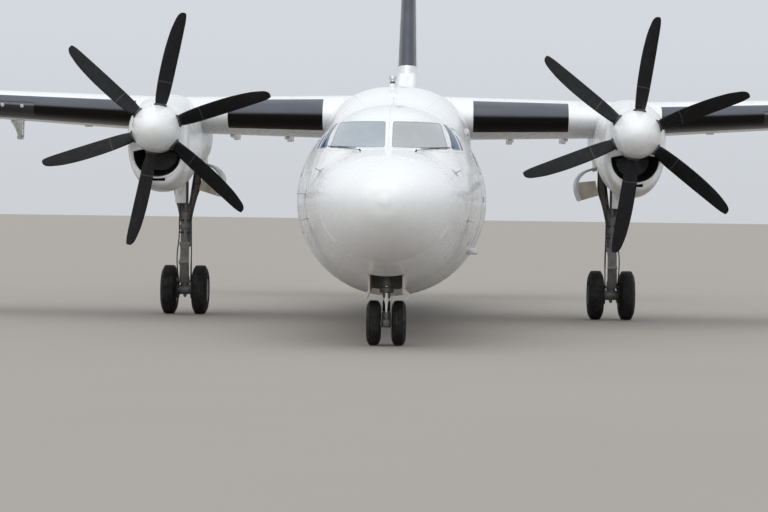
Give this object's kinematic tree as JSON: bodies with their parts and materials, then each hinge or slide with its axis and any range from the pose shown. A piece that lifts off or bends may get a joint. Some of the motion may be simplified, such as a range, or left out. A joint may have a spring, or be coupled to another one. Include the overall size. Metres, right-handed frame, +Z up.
{
  "type": "high-wing twin turboprop airliner",
  "caption": "High-wing regional airliner with turning propellers, wheels and control surfaces, steered nose gear and an airstair door.",
  "frame": {"origin": "on the ground under the centre of the overall box", "axes": "+Z up, -Y toward the nose, +X toward the port wing tip"},
  "size_m": [29, 25.247, 8.317],
  "materials": {
    "white_paint": "glossy white aircraft paint with faint dirt and panel lines",
    "gear_door_paint": "white outside, beige primer inside",
    "gear_grey": "satin grey enamel with grease at the joints",
    "wheel_rim": "satin light grey forged wheel",
    "bare_metal": "heat-stained metal",
    "aerial_grey": "dark foot and silver top",
    "engine_metal": "plain block, closed in",
    "blade_black": "satin near-black blade with a rubber boot at its root",
    "tyre_rubber": "worn grooved tyre",
    "cockpit_glass": "coated cockpit glass that mirrors the sky"
  },
  "bodies": {
    "airframe": {"fuselage": "white_paint", "radome": "white_paint", "wing_fairing": "white_paint", "windshield_port": "cockpit_glass", "side_window_port": "cockpit_glass", "windshield_starboard": "cockpit_glass", "side_window_starboard": "cockpit_glass", "crown_aerial": "aerial_grey", "wing": "white_paint", "tailplane": "white_paint", "fin": "white_paint", "nacelle_port": "white_paint", "engine_port": "engine_metal", "exhaust_port": "bare_metal", "nacelle_starboard": "white_paint", "engine_starboard": "engine_metal", "exhaust_starboard": "bare_metal", "main_gear_leg_port": "gear_grey", "main_gear_door_inner_port": "gear_door_paint", "main_gear_door_outer_port": "gear_door_paint", "main_gear_leg_starboard": "gear_grey", "main_gear_door_inner_starboard": "gear_door_paint", "main_gear_door_outer_starboard": "gear_door_paint", "nose_gear_leg": "gear_grey", "nose_gear_door_port": "gear_door_paint", "nose_gear_door_starboard": "gear_door_paint"},
    "passenger_door": {"passenger_door": "white_paint"},
    "flap_inboard_port": {"flap_inboard_port": "white_paint"},
    "flap_outboard_port": {"flap_outboard_port": "white_paint"},
    "aileron_port": {"aileron_port": "white_paint"},
    "flap_inboard_starboard": {"flap_inboard_starboard": "white_paint"},
    "flap_outboard_starboard": {"flap_outboard_starboard": "white_paint"},
    "aileron_starboard": {"aileron_starboard": "white_paint"},
    "elevator_port": {"elevator_port": "white_paint"},
    "elevator_starboard": {"elevator_starboard": "white_paint"},
    "rudder": {"rudder": "white_paint"},
    "propeller_port": {"propeller_port": "blade_black", "spinner_port": "white_paint"},
    "propeller_starboard": {"propeller_starboard": "blade_black", "spinner_starboard": "white_paint"},
    "main_wheels_port": {"main_wheels_port_rims": "wheel_rim", "main_wheels_port_tyre_left": "tyre_rubber", "main_wheels_port_tyre_right": "tyre_rubber"},
    "main_wheels_starboard": {"main_wheels_starboard_rims": "wheel_rim", "main_wheels_starboard_tyre_left": "tyre_rubber", "main_wheels_starboard_tyre_right": "tyre_rubber"},
    "nose_steering": {"nose_gear_fork": "gear_grey"},
    "nose_wheels": {"nose_wheels_rims": "wheel_rim", "nose_wheels_tyre_left": "tyre_rubber", "nose_wheels_tyre_right": "tyre_rubber"}
  },
  "joints": [
    {"name": "propeller_port_spin", "type": "hinge", "parent": "airframe", "child": "propeller_port", "pos_m": [3.684, -4.8235, 2.99], "axis": [0, 1, 0], "continuous": true},
    {"name": "main_wheels_port_spin", "type": "hinge", "parent": "airframe", "child": "main_wheels_port", "pos_m": [3.6, -0.8235, 0.41145], "axis": [1, 0, 0], "continuous": true},
    {"name": "flap_inboard_port", "type": "hinge", "parent": "airframe", "child": "flap_inboard_port", "pos_m": [1.85, -0.6897, 2.98753], "axis": [-0.998, 0.0595, -0.0206], "range_deg": [0, 35]},
    {"name": "flap_outboard_port", "type": "hinge", "parent": "airframe", "child": "flap_outboard_port", "pos_m": [6.4, -0.96109, 2.96311], "axis": [-0.9964, 0.0595, -0.0596], "range_deg": [0, 35]},
    {"name": "aileron_port", "type": "hinge", "parent": "airframe", "child": "aileron_port", "pos_m": [9.56, -1.10787, 3.5429], "axis": [0.9969, -0.0624, 0.0477], "range_deg": [-20, 20]},
    {"name": "elevator_port", "type": "hinge", "parent": "airframe", "child": "elevator_port", "pos_m": [0.82, 10.30299, 3.43465], "axis": [0.9943, -0.0224, 0.1045], "range_deg": [-15, 25]},
    {"name": "propeller_starboard_spin", "type": "hinge", "parent": "airframe", "child": "propeller_starboard", "pos_m": [-3.684, -4.8235, 2.99], "axis": [0, 1, 0], "continuous": true},
    {"name": "main_wheels_starboard_spin", "type": "hinge", "parent": "airframe", "child": "main_wheels_starboard", "pos_m": [-3.6, -0.8235, 0.41145], "axis": [1, 0, 0], "continuous": true},
    {"name": "flap_inboard_starboard", "type": "hinge", "parent": "airframe", "child": "flap_inboard_starboard", "pos_m": [-1.85, -0.6897, 2.98753], "axis": [-0.998, -0.0595, 0.0206], "range_deg": [0, 35]},
    {"name": "flap_outboard_starboard", "type": "hinge", "parent": "airframe", "child": "flap_outboard_starboard", "pos_m": [-6.4, -0.96109, 2.96311], "axis": [-0.9964, -0.0595, 0.0596], "range_deg": [0, 35]},
    {"name": "aileron_starboard", "type": "hinge", "parent": "airframe", "child": "aileron_starboard", "pos_m": [-9.56, -1.10787, 3.5429], "axis": [0.9969, 0.0624, -0.0477], "range_deg": [-20, 20]},
    {"name": "elevator_starboard", "type": "hinge", "parent": "airframe", "child": "elevator_starboard", "pos_m": [-0.82, 10.30299, 3.43465], "axis": [0.9943, 0.0224, -0.1045], "range_deg": [-15, 25]},
    {"name": "rudder", "type": "hinge", "parent": "airframe", "child": "rudder", "pos_m": [0, 10.70303, 3.54], "axis": [0, 0.1343, 0.9909], "range_deg": [-27, 27]},
    {"name": "nose_steer", "type": "hinge", "parent": "airframe", "child": "nose_steering", "pos_m": [0, -10.5235, 0.5], "axis": [0, 0, 1], "range_deg": [-73, 73]},
    {"name": "nose_wheels_spin", "type": "hinge", "parent": "nose_steering", "child": "nose_wheels", "pos_m": [0, -10.5235, 0.29631], "axis": [1, 0, 0], "continuous": true},
    {"name": "passenger_door", "type": "hinge", "parent": "airframe", "child": "passenger_door", "pos_m": [1.18, -8.4735, 1.216], "axis": [0, 1, 0], "range_deg": [0, 125]}
  ],
  "couplings": [
    {"joint": "flap_outboard_port", "follows": "flap_inboard_port", "ratio": 1},
    {"joint": "flap_inboard_starboard", "follows": "flap_inboard_port", "ratio": 1},
    {"joint": "flap_outboard_starboard", "follows": "flap_inboard_port", "ratio": 1},
    {"joint": "aileron_starboard", "follows": "aileron_port", "ratio": -1},
    {"joint": "elevator_starboard", "follows": "elevator_port", "ratio": 1}
  ]
}
